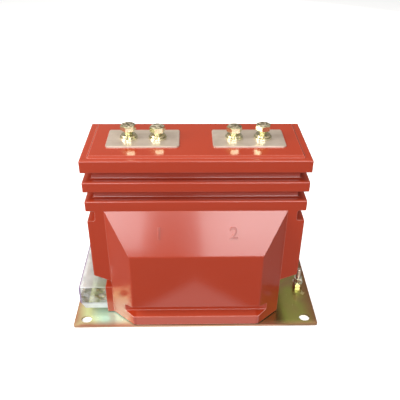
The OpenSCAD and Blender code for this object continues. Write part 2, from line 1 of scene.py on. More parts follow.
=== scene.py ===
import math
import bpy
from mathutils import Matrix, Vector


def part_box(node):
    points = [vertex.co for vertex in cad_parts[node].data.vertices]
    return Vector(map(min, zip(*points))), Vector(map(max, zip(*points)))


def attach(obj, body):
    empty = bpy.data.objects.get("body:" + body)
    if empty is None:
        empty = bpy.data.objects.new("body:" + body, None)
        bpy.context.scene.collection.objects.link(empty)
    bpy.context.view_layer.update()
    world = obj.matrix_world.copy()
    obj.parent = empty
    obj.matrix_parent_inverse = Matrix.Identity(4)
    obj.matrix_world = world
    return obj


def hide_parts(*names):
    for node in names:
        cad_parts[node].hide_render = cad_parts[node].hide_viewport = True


bl_info = {
    "name": "Indoor current transformer",
    "version": (1, 0, 0),
    "blender": (4, 5, 0),
    "location": "3D View > Sidebar > Transformer",
    "description": "Fasteners, marks and finishes of a cast resin indoor current transformer",
    "category": "Object",
}

import bmesh
import bpy
from mathutils import Matrix, Vector

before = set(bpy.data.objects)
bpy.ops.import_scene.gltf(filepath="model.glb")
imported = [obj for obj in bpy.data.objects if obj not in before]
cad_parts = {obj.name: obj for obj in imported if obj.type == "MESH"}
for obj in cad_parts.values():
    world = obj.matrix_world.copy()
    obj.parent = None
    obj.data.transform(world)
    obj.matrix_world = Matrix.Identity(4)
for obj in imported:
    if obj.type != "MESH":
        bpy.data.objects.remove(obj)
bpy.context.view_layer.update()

MM = 0.001
TURN = 2 * math.pi
UNTURNED = (0.0, 0.0, 0.0)
LAID_LEFT = (0.0, -math.pi / 2, 0.0)  # what stood up points to the left end of the plate

# Places that the finishes and pieces share with the CAD model.
GROOVES_LOW, GROOVES_HIGH = 191.5 * MM, 250 * MM  # levels between which the grooves lie
GROOVE_X, GROOVE_Y = 149 * MM, 57 * MM  # half size within which the groove walls get a painted shade
SLOPE_LOW, SLOPE_HIGH = 132.8 * MM, 191.2 * MM  # levels of the front slope's lower and upper edge
FOOT_TOP = 26 * MM  # level up to which the foot and its clamping groove reach
FOOT_X, FOOT_Y = 92 * MM, -72 * MM  # half width of the foot's front, and where it begins
CONTACT_SHADOW_TOP = 5.4 * MM  # level up to which a painted contact shadow darkens the casting above its gap to the plate
RUBBED_SPOT = (-0.114, -0.071, 0.048)  # a deeper spot on the left chamfer
HEADS_LOW = 281 * MM  # above this level there are only the terminal bolts' heads
EARTHING_X = 150 * MM  # right of this the fasteners belong to the earthing stud
INNER_DROP = 2.5 * MM  # the two inner terminal bolts stand this much lower


def corners(node):
    """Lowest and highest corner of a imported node's box."""
    return tuple(Vector(corner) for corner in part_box(node))


def levels(node):
    """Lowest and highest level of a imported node."""
    return tuple(corner[2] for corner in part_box(node))


def middle(node):
    """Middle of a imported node's box."""
    low, high = corners(node)
    return (low + high) / 2


def span(node, axis):
    """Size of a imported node's box along one axis."""
    low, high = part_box(node)
    return high[axis] - low[axis]


def right_side(node):
    """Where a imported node's box ends on the right."""
    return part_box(node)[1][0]


def pose(across, up, out, place):
    """Matrix that turns the axes to three directions and moves them to a place."""
    return Matrix.Translation(place) @ Matrix((across, up, out)).transposed().to_4x4()


def from_screen(red, green, blue):
    """Linear colour of a screen colour given as 0 to 255."""
    def linear(value):
        value /= 255
        return value / 12.92 if value <= 0.04045 else ((value + 0.055) / 1.055) ** 2.4
    return (linear(red), linear(green), linear(blue), 1.0)


def grey(level):
    """Linear grey."""
    return (level, level, level, 1.0)


# ---------------------------------------------------------------- node trees

class Term:
    """A node socket that takes part in Python expressions on values."""

    def __init__(self, tree, socket):
        self.tree = tree
        self.socket = socket

    def other(self, name):
        """Another output of the same node."""
        return Term(self.tree, self.socket.node.outputs[name])

    def math(self, operation, *terms):
        node = self.tree.nodes.new("ShaderNodeMath")
        node.operation = operation
        for place, term in enumerate(terms):
            plug(self.tree, node.inputs[place], term)
        return Term(self.tree, node.outputs[0])

    def __add__(self, other):
        return self.math("ADD", self, other)

    def __radd__(self, other):
        return self.math("ADD", other, self)

    def __sub__(self, other):
        return self.math("SUBTRACT", self, other)

    def __rsub__(self, other):
        return self.math("SUBTRACT", other, self)

    def __mul__(self, other):
        return self.math("MULTIPLY", self, other)

    def __rmul__(self, other):
        return self.math("MULTIPLY", other, self)

    def __truediv__(self, other):
        return self.math("DIVIDE", self, other)

    def __rtruediv__(self, other):
        return self.math("DIVIDE", other, self)

    def __pow__(self, other):
        return self.math("POWER", self, other)

    def __rpow__(self, other):
        return self.math("POWER", other, self)

    def __abs__(self):
        return self.math("ABSOLUTE", self)

    def least(self, other):
        return self.math("MINIMUM", self, other)

    def most(self, other):
        return self.math("MAXIMUM", self, other)

    def clipped(self):
        return self.most(0.0).least(1.0)

    def fraction(self):
        return self.math("FRACT", self)

    def above(self, other):
        return self.math("GREATER_THAN", self, other)

    def past(self, edge, width):
        """0 up to an edge and 1 a width beyond it; a width below 0 looks the other way."""
        return ((self - edge) / width).clipped()


def plug(tree, socket, term):
    """Links a term to an input, or sets the input to a plain value."""
    if isinstance(term, Term):
        tree.links.new(term.socket, socket)
    else:
        socket.default_value = term


def as_colour(colour):
    """Linear colour of a screen triple; a term or a linear colour stays what it is."""
    if isinstance(colour, Term):
        return colour
    return from_screen(*colour) if len(colour) == 3 else tuple(colour)


class Graph:
    """Builds a node tree. Every node but plain maths comes from add."""

    def __init__(self, tree):
        self.tree = tree

    def add(self, kind, inputs=None, out=0, stops=None, **settings):
        """New node: its settings and ramp stops first, then its inputs."""
        node = self.tree.nodes.new(kind)
        for name, value in settings.items():
            setattr(node, name, value)
        if stops:
            ramp = node.color_ramp
            while len(ramp.elements) < len(stops):
                ramp.elements.new(1.0)
            for element, (place, colour) in zip(ramp.elements, stops):
                element.position = place
                element.color = as_colour(colour)
        for name, term in (inputs or {}).items():
            plug(self.tree, node.inputs[name], term)
        return None if out is None else Term(self.tree, node.outputs[out])

    def split(self, vector):
        """The three numbers of a vector."""
        parts = self.add("ShaderNodeSeparateXYZ", {0: vector})
        return parts, parts.other("Y"), parts.other("Z")

    def blend(self, amount, first, second):
        """Colour between two colours."""
        inputs = {0: amount, 6: as_colour(first), 7: as_colour(second)}
        return self.add("ShaderNodeMix", inputs, out=2, data_type="RGBA")

    def rays(self):
        """Masks of rays that see a surface, also through glass, and of those that mirror it."""
        camera = self.add("ShaderNodeLightPath", out="Is Camera Ray")
        seen = camera.most(camera.other("Is Transmission Ray"))
        return seen, camera.other("Is Glossy Ray") * (1.0 - seen)


class Finish(Graph):
    """One material: fixed shader values, then what varies over the surface."""

    def __init__(self, name, **fixed):
        self.material = bpy.data.materials.new(name)
        self.material.use_nodes = True
        super().__init__(self.material.node_tree)
        self.shader = next(n for n in self.tree.nodes if n.type == "BSDF_PRINCIPLED")
        self.place = self.add("ShaderNodeTexCoord", out="Object")
        for socket, value in fixed.items():
            self.shader.inputs[socket.replace("_", " ")].default_value = value

    def done(self, **varied):
        """Feeds what varies over the surface to the shader, and gives the material."""
        for socket, term in varied.items():
            plug(self.tree, self.shader.inputs[socket.replace("_", " ")], term)
        return self.material

    def axes(self):
        return self.split(self.place)

    def stretched(self, x, y, z):
        """Object coordinates with another scale along each axis."""
        return self.add("ShaderNodeMapping", {"Vector": self.place, "Scale": (x, y, z)})

    def noise(self, scale, detail=2.0, rough=0.5, place=None, distortion=0.0):
        return self.add("ShaderNodeTexNoise", {
            "Vector": place or self.place, "Scale": scale, "Detail": detail,
            "Roughness": rough, "Distortion": distortion})

    def specks(self, scale, size):
        """Small round spots, one where a cell's middle is near."""
        cells = self.add("ShaderNodeTexVoronoi", {"Vector": self.place, "Scale": scale})
        return (1.0 - cells / size).clipped()

    def along(self, direction):
        """How far the surface faces a direction, 1 where it does."""
        normal = self.add("ShaderNodeNewGeometry", out="Normal")
        return self.add("ShaderNodeVectorMath", {0: direction, 1: normal},
                        out="Value", operation="DOT_PRODUCT")

    def ramp(self, amount, *stops):
        """Colour that follows an amount through (place, colour) stops."""
        return self.add("ShaderNodeValToRGB", {0: amount}, stops=stops)

    def rounded(self, radius):
        """Normal as if edges were rounded to a radius."""
        return self.add("ShaderNodeBevel", {"Radius": radius}, samples=6)

    def relief(self, height, depth, strength=1.0, over=None):
        """Bump of a height from 0 to 1 that is depth metres deep."""
        inputs = {"Height": height, "Distance": depth, "Strength": strength}
        if over:
            inputs["Normal"] = over
        return self.add("ShaderNodeBump", inputs)


# ------------------------------------------------------------------ finishes

def resin_finish(colours):
    """Glossy cast epoxy: slow waves, a little dust, painted shade on the groove walls, painted
    highlights on convex edges, a painted light on the foot's front and a painted contact shadow
    above the gap to the plate.
    """
    finish = Finish("cast_resin", IOR=1.5, Coat_Roughness=0.08, Coat_IOR=1.45)
    clouds = finish.noise(9.0, 3.0, 0.55)
    dust = finish.specks(60.0, 0.03)
    x, y, z = finish.axes()
    # painted shade: the groove walls between the skirts are darker, as where the skirts above
    # shade them
    sunk = ((GROOVE_Y - abs(y)).least(GROOVE_X - abs(x)) / (4 * MM)).clipped()
    grooves = sunk * z.above(GROOVES_LOW) * (1.0 - z.above(GROOVES_HIGH))
    tone = finish.blend(clouds, colours.resin_dark, colours.resin)
    tone = finish.blend(grooves, tone, (148, 44, 22))
    away = finish.add("ShaderNodeVectorMath", {0: finish.place, 1: RUBBED_SPOT},
                      out="Value", operation="DISTANCE")
    stain = (1.6 - away / (6 * MM) - 1.4 * finish.noise(220.0)).clipped()
    tone = finish.blend(0.4 * stain, tone, (132, 34, 18))
    foot = z.past(FOOT_TOP, -4 * MM)
    front = abs(x).past(FOOT_X, -3 * MM) * y.past(FOOT_Y, -2 * MM)
    # painted contact shadow: the casting is dark just above its gap to the plate, but not at the
    # foot's front
    contact_shadow = z.past(CONTACT_SHADOW_TOP, -0.8 * MM) * (1.0 - front)
    # painted light: the foot's front is lighter, standing in for light thrown up onto it from the
    # plate
    tone = finish.blend(0.24 * foot * front, tone, (214, 104, 80))
    # painted highlight: convex edges outside the grooves are paler, the foot's groove lips most,
    # as where rounded edges catch the lamps
    turned = 1.0 - finish.along(finish.rounded(1.6 * MM))
    edge_highlight = (12.0 * turned).clipped() * (1.0 - grooves)
    tone = finish.blend((0.35 + 0.6 * foot) * edge_highlight, tone, (240, 162, 146))
    tone = finish.blend(0.85 * contact_shadow, tone, (70, 30, 16))
    return finish.done(
        Base_Color=finish.blend(0.25 * dust, tone, colours.resin_dust),
        Roughness=0.17 + 0.08 * clouds + 0.2 * dust,
        Coat_Weight=0.45 + 0.15 * clouds,
        Normal=finish.relief(finish.noise(13.0, 1.0), 0.6 * MM, over=finish.rounded(1.0 * MM)))


def plate_finish():
    """Yellow passivated zinc on sheet: mint to olive inside, pink brown along the edges."""
    finish = Finish("zinc_plate")
    x, y, _ = finish.axes()
    drift = finish.noise(11.0, distortion=0.8)
    fine = finish.noise(150.0, 3.0, 0.6)
    from_side = (span("base_plate", 0) / 2 - abs(x)) / (18 * MM + 0.02 * x)
    from_edge = from_side.least((span("base_plate", 1) / 2 - abs(y)) / (11 * MM))
    inside = finish.ramp(
        (0.5 + 2.2 * x + (0.35 + x) * (drift - 0.5)).clipped(),
        (0.12, (226, 232, 172)), (0.165, (204, 240, 216)), (0.215, (210, 240, 210)),
        (0.26, (230, 228, 184)), (0.32, (234, 216, 156)), (0.5, (226, 200, 140)),
        (0.76, (180, 184, 116)), (0.84, (188, 196, 108)), (0.9, (190, 186, 112)),
        (0.96, (194, 166, 120)))
    rim = finish.ramp(
        drift, (0.35, (180, 120, 94)), (0.5, (186, 134, 104)), (0.65, (178, 116, 90)))
    colour = finish.blend(
        (from_edge + 1.2 * (drift - 0.5) + 0.1 * fine).clipped(), rim, inside)
    front_face = finish.along((0.0, -1.0, 0.0)).above(0.7)
    colour = finish.blend(0.4 * front_face, colour, (230, 196, 162))
    marks = finish.specks(90.0, 0.12)
    strip = abs(y).past(79 * MM, 8 * MM)
    return finish.done(
        Base_Color=finish.blend(0.2 * marks, colour, (140, 130, 100)),
        Metallic=(0.95 + 4.0 * x).most(0.3).least(1.0) * (1.0 - 0.35 * strip),
        Roughness=0.2 + 0.06 * fine + 0.1 * marks,
        Normal=finish.relief(fine, 0.004 * MM, 0.5))


def fastener_finish(name):
    """Pale yellow zinc: greener on bolt heads, dull on their crowns, paler at the earth stud."""
    finish = Finish(name)
    x, _, z = finish.axes()
    drift = finish.noise(60.0, 3.0, 0.6, distortion=0.6)
    fine = finish.noise(800.0, 3.0, 0.6)
    patches = 0.75 * drift + 0.25 * fine
    yellow = finish.ramp(
        patches, (0.3, (206, 196, 152)), (0.45, (236, 229, 198)),
        (0.6, (242, 238, 214)), (0.75, (216, 202, 160)))
    green = finish.ramp(
        patches, (0.3, (202, 200, 142)), (0.45, (228, 230, 184)),
        (0.6, (234, 236, 200)), (0.75, (212, 208, 150)))
    head = z.above(HEADS_LOW)
    colour = finish.blend(head, yellow, green)
    colour = finish.blend(0.7 * x.above(EARTHING_X), colour, (246, 250, 236))
    inner = 1.0 - abs(x).above(abs(middle("terminal_left").x))
    crown = z.above(levels("terminal_bolts")[1] - 0.06 * MM - INNER_DROP * inner)
    dull = finish.ramp(
        finish.noise(300.0), (0.4, (84, 70, 54)), (0.5, (142, 124, 98)), (0.6, (240, 228, 206)))
    return finish.done(
        Base_Color=finish.blend(0.9 * crown, colour, dull),
        Metallic=0.93 - 0.35 * crown,
        Roughness=0.18 - 0.06 * head + 0.09 * fine + 0.2 * crown,
        Normal=finish.relief(fine, 0.02 * MM, 0.5))


def tinned_finish(colours):
    """Dull tin over copper, with faint rubbing marks along the bar."""
    finish = Finish("tinned_copper", Metallic=0.5)
    rub = finish.noise(60.0, 4.0, 0.65, finish.stretched(0.25, 6.0, 6.0))
    stains = finish.noise(38.0, 4.0, 0.6, distortion=0.8)
    return finish.done(
        Base_Color=finish.ramp(
            0.55 * stains + 0.45 * rub,
            (0.25, (196, 176, 160)), (0.55, colours.tin), (0.8, (236, 222, 210))),
        Roughness=0.22 + 0.12 * rub + 0.06 * stains,
        Normal=finish.relief(rub, 0.04 * MM, 0.5))


def metal_finish(name, screen, rough=0.28):
    """Bright turned or drawn metal with fine marks and slow clouds."""
    finish = Finish(name, Metallic=1.0)
    colour = from_screen(*screen)
    dark = tuple(0.72 * channel for channel in colour[:3]) + (1.0,)
    streaks = finish.noise(900.0, 2.0, 0.6)
    cloud = finish.noise(120.0)
    return finish.done(
        Base_Color=finish.blend(0.3 + 0.7 * cloud, dark, colour),
        Roughness=rough + 0.14 * streaks,
        Normal=finish.relief(streaks, 0.02 * MM, 0.4))


def clear_finish(colours):
    """Clear moulded plastic: milky on top and on its lower rim, partly a painted reflection; a
    painted shade along its end's edges and a painted highlight along its top edges.
    """
    finish = Finish("clear_plastic", IOR=1.8)
    low, high = corners("terminal_cover")
    x, y, z = finish.axes()
    from_end, from_side, from_top = x - low.x, high.y - abs(y), high.z - z
    # painted shade: the edges of the end are dark and opaque, as clear plastic looks seen on edge
    end = (2.6 - from_end.most(from_side.least(from_top)) / (1.2 * MM)).clipped()
    # painted highlight: the top edges are made more opaque, so they light up white
    edge = (1.5 - from_side.most(from_top) / (1.0 * MM)).clipped()
    # milky lower rim, roof and drifting wall patches: partly real haze, partly a painted
    # reflection of the bright surroundings
    rim = z.past(low.z + 10 * MM, -1 * MM)
    roof = (1.0 - from_top / (2 * MM)).clipped()
    haze = finish.noise(70.0, 3.0)
    scuffs = finish.noise(500.0, 3.0, 0.7, finish.stretched(1.0, 0.2, 1.0))
    drift = finish.noise(130.0, place=finish.stretched(0.7, 0.3, 1.6))
    wall = finish.ramp(
        drift, (0.4, (128, 130, 100)), (0.5, (196, 198, 186)), (0.6, colours.cover))
    top = finish.ramp(
        (from_end / (36 * MM)).clipped(),
        (0.0, colours.cover), (0.35, (214, 212, 212)), (0.9, (176, 184, 164)))
    body = finish.blend(rim, finish.blend(roof, wall, top), colours.cover)
    return finish.done(
        Base_Color=finish.blend(end, body, colours.cover_edge),
        Alpha=(0.1 + 0.35 * haze + 0.3 * roof + end + 0.6 * edge.most(rim)).clipped(),
        Roughness=0.07 + 0.1 * scuffs,
        Normal=finish.relief(haze, 0.2 * MM, 0.5))


def core_finish():
    """Tape wound electrical steel: thin rings round the core axis."""
    finish = Finish("core_steel", Metallic=1.0)
    _, y, z = finish.axes()
    height = z - middle("core_1").z
    radius = (y * y + height * height) ** 0.5
    tape = abs((radius / (0.9 * MM)).fraction() - 0.5) * 2.0
    return finish.done(
        Base_Color=finish.blend(tape, (94, 96, 102), (150, 152, 158)),
        Roughness=0.35 + 0.2 * finish.noise(40.0),
        Normal=finish.relief(tape, 0.1 * MM, 0.5))


def winding_finish():
    """Enamelled wire laid in 180 turns round the core."""
    finish = Finish("enamelled_wire", Metallic=0.6, Coat_Roughness=0.15)
    _, y, z = finish.axes()
    angle = y.math("ARCTAN2", y, z - middle("winding_1").z)
    turns = abs((angle * (180 / TURN)).fraction() - 0.5) * 2.0
    return finish.done(
        Base_Color=finish.blend(turns, (112, 52, 24), (196, 106, 54)),
        Roughness=0.28 + 0.15 * finish.noise(120.0),
        Coat_Weight=0.4 + 0.3 * finish.noise(30.0),
        Normal=finish.relief(turns, 0.6 * MM, 0.8))


def mark_finish(colours, out):
    """Resin of the raised marks, a little rubbed on top, with a painted highlight on their rounded
    edges.
    """
    finish = Finish("raised_mark", IOR=1.5, Coat_Weight=0.5, Coat_Roughness=0.1, Coat_IOR=1.45)
    rub = finish.noise(400.0, 3.0)
    top = finish.blend(rub, colours.resin, colours.mark)
    # painted highlight: the marks' rounded edges, which face away from the slope, are paler
    turned = (3.0 * (1.0 - finish.along(tuple(out)))).clipped()
    return finish.done(
        Base_Color=finish.blend(0.6 * turned, top, (240, 164, 150)),
        Roughness=0.2 + 0.1 * rub,
        Normal=finish.relief(rub, 0.03 * MM, 0.5))


def floor_finish():
    """Plain pale floor: white to the camera, grey in what it throws back, but for a patch round
    the object that glows for mirrored rays, a painted reflection.
    """
    finish = Finish("studio_floor", Specular_IOR_Level=0.0, Roughness=1.0, Emission_Strength=1.0)
    x, y, _ = finish.axes()
    seen, mirrored = finish.rays()
    speckle = 0.97 + 0.03 * finish.noise(6.0)
    # painted reflection: round the object the floor glows for mirrored rays only, a bright patch
    # that the casting's front reflects
    near = ((0.262 - abs(x) - 1.28 * abs(y)) / 0.03).clipped()
    shine = 0.42 * seen + (0.03 + 0.85 * near) * mirrored
    return finish.done(
        Base_Color=finish.blend(seen * speckle, grey(0.2), grey(0.93)),
        Emission_Color=finish.blend(shine, grey(0.0), grey(1.0)))


def once(name, make, *details):
    """A shared material, made the first time it is asked for."""
    return bpy.data.materials.get(name) or make(name, *details)


def bolt_zinc():
    return once("zinc_fastener", fastener_finish)


def steel():
    return once("bright_steel", metal_finish, (226, 212, 202))


def brass():
    return once("bright_brass", metal_finish, (204, 186, 124), 0.22)


def sign_steel():
    return once("stamped_sign", metal_finish, (240, 236, 200), 0.3)


def paint(thing, material):
    """Puts one material on every slot of an object."""
    if not thing.material_slots:
        thing.data.materials.append(material)
    for material_slot in thing.material_slots:
        material_slot.material = material


def paint_nodes(material, *names):
    for name in names:
        paint(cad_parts[name], material)


# --------------------------------------------------------------- mesh making

def linked(name, data=None):
    """New object at the origin, linked to the scene."""
    thing = bpy.data.objects.new(name, data or bpy.data.meshes.new(name))
    bpy.context.scene.collection.objects.link(thing)
    return thing


def new_piece(name, mesh, material=None, sharp=35.0):
    """Object at the origin that holds the mesh, smooth but for edges of sharp degrees."""
    mesh.name = name
    for face in mesh.polygons:
        face.use_smooth = True
    mesh.set_sharp_from_angle(angle=math.radians(sharp))
    piece = linked(name, mesh)
    if material:
        paint(piece, material)
    return piece


def settle(thing, name, material=None, sharp=35.0):
    """Plain mesh piece of an object with modifiers; the object is removed."""
    bpy.context.view_layer.update()
    depsgraph = bpy.context.evaluated_depsgraph_get()
    mesh = bpy.data.meshes.new_from_object(thing.evaluated_get(depsgraph), depsgraph=depsgraph)
    bpy.data.objects.remove(thing)
    return new_piece(name, mesh, material, sharp)


def plain_mesh(work):
    """Mesh of a bmesh, which is freed."""
    mesh = bpy.data.meshes.new("part")
    work.to_mesh(mesh)
    work.free()
    return mesh


def closed_mesh(work):
    """Mesh of a bmesh, doubles merged and faces outward."""
    bmesh.ops.remove_doubles(work, verts=work.verts, dist=1e-7)
    bmesh.ops.recalc_face_normals(work, faces=work.faces)
    return plain_mesh(work)


def shell(rings, closed):
    """Quads between rings of points, closed on itself or by a flat face at each end."""
    work = bmesh.new()
    loops = [[work.verts.new(point) for point in ring] for ring in rings]
    pairs = list(zip(loops, loops[1:])) + ([(loops[-1], loops[0])] if closed else [])
    for lower, upper in pairs:
        count = len(lower)
        for i in range(count):
            j = (i + 1) % count
            work.faces.new((lower[i], lower[j], upper[j], upper[i]))
    if not closed:
        work.faces.new(loops[0])
        work.faces.new(loops[-1])
    return closed_mesh(work)


def add_box(work, centre, size):
    """Adds a box to a bmesh."""
    matrix = Matrix.Translation(centre) @ Matrix.Diagonal((*size, 1.0))
    bmesh.ops.create_cube(work, size=1.0, matrix=matrix)


def turned_solid(profile, columns, hollow=False):
    """Solid round the Z axis from rings of (radius, level), up its outside.

    Either is a number, or a function of a point's place in the ring. A hollow one's rings
    go on down its bore."""
    def at(value, i):
        return value(i) if callable(value) else value

    rings = []
    for radius, level in profile:
        angles = [TURN * i / columns for i in range(columns)]
        rings.append([(at(radius, i) * math.cos(angle), at(radius, i) * math.sin(angle),
                       at(level, i)) for i, angle in enumerate(angles)])
    return shell(rings, closed=hollow)


def hexagon_part(flats, height, bore=0.0, columns=72):
    """Hexagon nut with a bore, or bolt head without, standing on the origin.

    A cone cuts its corners, above and on a nut below too, which leaves the arcs of a real
    one. A head stands on a low round collar."""
    half = flats / 2
    rim = 0.95 * half
    slope = math.tan(math.radians(30))
    collar = 0.04 * height

    def outline(i):
        angle = math.radians(i * 360 / columns % 60 - 30)
        return half / math.cos(angle)

    def drop(i):
        return (outline(i) - rim) * slope

    top = [(outline, lambda i: height - drop(i)), (rim, height)]
    if not bore:
        return turned_solid([(rim, 0.0), (rim, collar), (outline, collar)] + top, columns)
    lip = 0.08 * bore
    inside = [(bore + lip, height), (bore, height - lip), (bore, lip), (bore + lip, 0.0)]
    return turned_solid([(rim, 0.0), (outline, drop)] + top + inside, columns, hollow=True)


def turned_ring(section, columns, arc=TURN, rise=0.0):
    """Ring round the Z axis with a closed section of (radius, height) points.

    With an arc below a full turn it is split, and its far end is raised by rise."""
    whole = arc >= TURN
    start = -math.pi / 2 + (TURN - arc) / 2
    rings = []
    for i in range(columns if whole else columns + 1):
        angle = start + arc * i / columns
        lift = rise * i / columns
        rings.append([(r * math.cos(angle), r * math.sin(angle), h + lift) for r, h in section])
    return shell(rings, closed=whole)


def washer(inner, outer, between, ease, columns=64, arc=TURN, rise=0.0):
    """Washer between two levels, its edges cut back; split as turned_ring says."""
    low, high = between[0], between[1] - rise
    section = [
        (inner + ease, low), (outer - ease, low), (outer, low + ease), (outer, high - ease),
        (outer - ease, high), (inner + ease, high), (inner, high - ease), (inner, low + ease)]
    return new_piece("washer", turned_ring(section, columns, arc, rise))


def slotted_screw(radius, height, shank, slot, depth, length):
    """Screw with a slotted cheese head above the origin and a shank below it."""
    body = linked("screw", turned_solid([
        (shank, height - length), (shank, 0.0), (radius, 0.0), (radius, 0.92 * height),
        (0.94 * radius, height)], 48))
    work = bmesh.new()
    add_box(work, (0.0, 0.0, height), (3 * radius, slot, 2 * depth))
    cutter = linked("cutter", closed_mesh(work))
    cut = body.modifiers.new("slot", "BOOLEAN")
    cut.operation = "DIFFERENCE"
    cut.object = cutter
    screw = settle(body, "screw")
    bpy.data.objects.remove(cutter)
    return screw


def node_modifier(thing, tree, **values):
    """Adds a node tree to an object and sets its inputs by their names."""
    modifier = thing.modifiers.new(tree.name, "NODES")
    modifier.node_group = tree
    for item in tree.interface.items_tree:
        key = item.name.lower().replace(" ", "_")
        if item.item_type == "SOCKET" and item.in_out == "INPUT" and key in values:
            modifier[item.identifier] = values.pop(key)
    if values:
        raise KeyError(f"{tree.name} has no input named {sorted(values)}")


def new_tree(name, **inputs):
    """Geometry node tree with a geometry input and output and named inputs."""
    tree = bpy.data.node_groups.new(name, "GeometryNodeTree")
    geometry = "NodeSocketGeometry"
    tree.interface.new_socket(name="Geometry", in_out="INPUT", socket_type=geometry)
    for key, kind in inputs.items():
        tree.interface.new_socket(
            name=key.replace("_", " "), in_out="INPUT", socket_type="NodeSocket" + kind)
    tree.interface.new_socket(name="Geometry", in_out="OUTPUT", socket_type=geometry)
    graph = Graph(tree)
    return graph, graph.add("NodeGroupInput")


def close_tree(graph, geometry, given):
    """Ends a tree in Realize Instances and Set Material."""
    real = graph.add("GeometryNodeRealizeInstances", {"Geometry": geometry})
    done = graph.add("GeometryNodeSetMaterial", {
        "Geometry": real, "Material": given.other("Material")})
    graph.add("NodeGroupOutput", {"Geometry": done}, out=None)
    return graph.tree


def thread_tree():
    """Screw thread along Z: a rod whose radius follows a helix and tapers at both ends."""
    graph, given = new_tree(
        "screw_thread", Radius="Float", Groove="Float", Pitch="Float", Length="Float",
        Columns="Int", Rows_per_turn="Int", Material="Material")
    radius, groove, pitch, length = (
        given.other(name) for name in ("Radius", "Groove", "Pitch", "Length"))
    rod = graph.add("GeometryNodeMeshCylinder", {
        "Vertices": given.other("Columns"),
        "Side Segments": length / pitch * given.other("Rows per turn"),
        "Radius": radius, "Depth": length})
    x, y, z = graph.split(graph.add("GeometryNodeInputPosition"))
    round_share = x.math("ARCTAN2", y, x) / TURN
    many_turns = 100.0  # keeps what the fraction is taken of above 0
    wave = abs((z / pitch - round_share + many_turns).fraction() - 0.5) * 2.0
    flank = (wave * 1.5 - 0.25).clipped()
    tip = (1.0 - (length / 2 - abs(z)) / pitch).clipped()
    share = 1.0 - groove / radius * flank.most(tip)
    flat = graph.add("ShaderNodeCombineXYZ", {0: x * share, 1: y * share, 2: z})
    cut = graph.add("GeometryNodeSetPosition", {"Geometry": rod, "Position": flat})
    return close_tree(graph, cut, given)


def copies_tree():
    """One master set at every point, turned by the point's own angles."""
    graph, given = new_tree("placed_copies", Master="Object", Material="Material")
    master = graph.add("GeometryNodeObjectInfo", {"Object": given.other("Master")}, out="Geometry")
    turn = graph.add("GeometryNodeInputNamedAttribute", {"Name": "turn"}, data_type="FLOAT_VECTOR")
    spin = graph.add("FunctionNodeEulerToRotation", {0: turn})
    copies = graph.add("GeometryNodeInstanceOnPoints", {
        "Points": given, "Instance": master, "Rotation": spin})
    return close_tree(graph, copies, given)


def threaded_rod(radius, length, pitch, top, material, columns=40, rows=8):
    """Threaded rod that reaches up to top."""
    holder = linked("rod")
    node_modifier(holder, thread_tree(), radius=radius, groove=0.6 * pitch, pitch=pitch,
                  length=length, columns=columns, rows_per_turn=rows, material=material)
    rod = settle(holder, "rod")
    rod.data.transform(Matrix.Translation((0, 0, top - length / 2)))
    return rod


def joined(*things):
    """One object from several, meshes merged and the parts removed."""
    work = bmesh.new()
    for thing in things:
        work.from_mesh(thing.data)
        bpy.data.objects.remove(thing)
    return new_piece("joined", plain_mesh(work))


def ready(piece, slot, *nodes):
    """Rides a finished piece on the root and lets it stand for CAD nodes."""
    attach(piece, "root")
    if nodes:
        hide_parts(*nodes)


def set_out(name, master, places, material, slot, node):
    """Piece of the master at (point, Euler turn) places, which stands for a CAD node."""
    cloud = bpy.data.meshes.new(name + "_places")
    cloud.from_pydata([tuple(point) for point, turn in places], [], [])
    turns = cloud.attributes.new("turn", "FLOAT_VECTOR", "POINT")
    for entry, (point, turn) in zip(turns.data, places):
        entry.vector = turn
    holder = linked(name + "_places", cloud)
    node_modifier(holder, copies_tree(), master=master, material=material)
    piece = settle(holder, name, material)
    bpy.data.objects.remove(master)
    ready(piece, slot, node)


def eased_copy(name, node, width, material):
    """Copy of a CAD node with its sharp edges rounded off."""
    work = bmesh.new()
    work.from_mesh(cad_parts[node].data)
    bmesh.ops.remove_doubles(work, verts=work.verts, dist=1e-6)
    bmesh.ops.dissolve_limit(
        work, angle_limit=math.radians(0.5), verts=work.verts, edges=work.edges)
    holder = linked(name, plain_mesh(work))
    bevel = holder.modifiers.new("eased", "BEVEL")
    bevel.width = width
    bevel.segments = 2
    bevel.limit_method = "ANGLE"
    bevel.angle_limit = math.radians(40)
    return settle(holder, name, material, 40.0)


# ------------------------------------------------------------------ settings

class TransformerSizes(bpy.types.PropertyGroup):
    """Sizes of the pieces made here."""

    bolt_pitch: bpy.props.FloatProperty(
        name="Bolt pitch", description="Distance between the two bolts of one terminal",
        default=40 * MM, min=0.0, unit="LENGTH")
    bolt_flats: bpy.props.FloatProperty(
        name="Bolt head", description="Width of a terminal bolt's head across its flats",
        default=19 * MM, min=0.0, unit="LENGTH")
    bolt_head: bpy.props.FloatProperty(
        name="Head height", description="Height of a terminal bolt's head",
        default=7.5 * MM, min=0.0, unit="LENGTH")
    bolt_thread: bpy.props.FloatProperty(
        name="Bolt thread", description="Thread diameter of a terminal bolt",
        default=12 * MM, min=0.0, unit="LENGTH")
    bolt_length: bpy.props.FloatProperty(
        name="Bolt length", description="Length of a terminal bolt under its head",
        default=35 * MM, min=0.0, unit="LENGTH")
    bolt_turns: bpy.props.FloatVectorProperty(
        name="Head turns", description="How far each bolt head is turned, from left to right",
        default=[math.radians(angle) for angle in (14, 13, 7, 15)], size=4, unit="ROTATION")
    mark_height: bpy.props.FloatProperty(
        name="Mark height", description="Height of the raised terminal numbers",
        default=17 * MM, min=0.0, unit="LENGTH")
    mark_relief: bpy.props.FloatProperty(
        name="Mark relief", description="How far the raised numbers stand out",
        default=0.8 * MM, min=0.0, unit="LENGTH")
    edge_ease: bpy.props.FloatProperty(
        name="Edge rounding", description="Rounding of the clear cover's edges",
        default=0.7 * MM, min=0.0, unit="LENGTH")


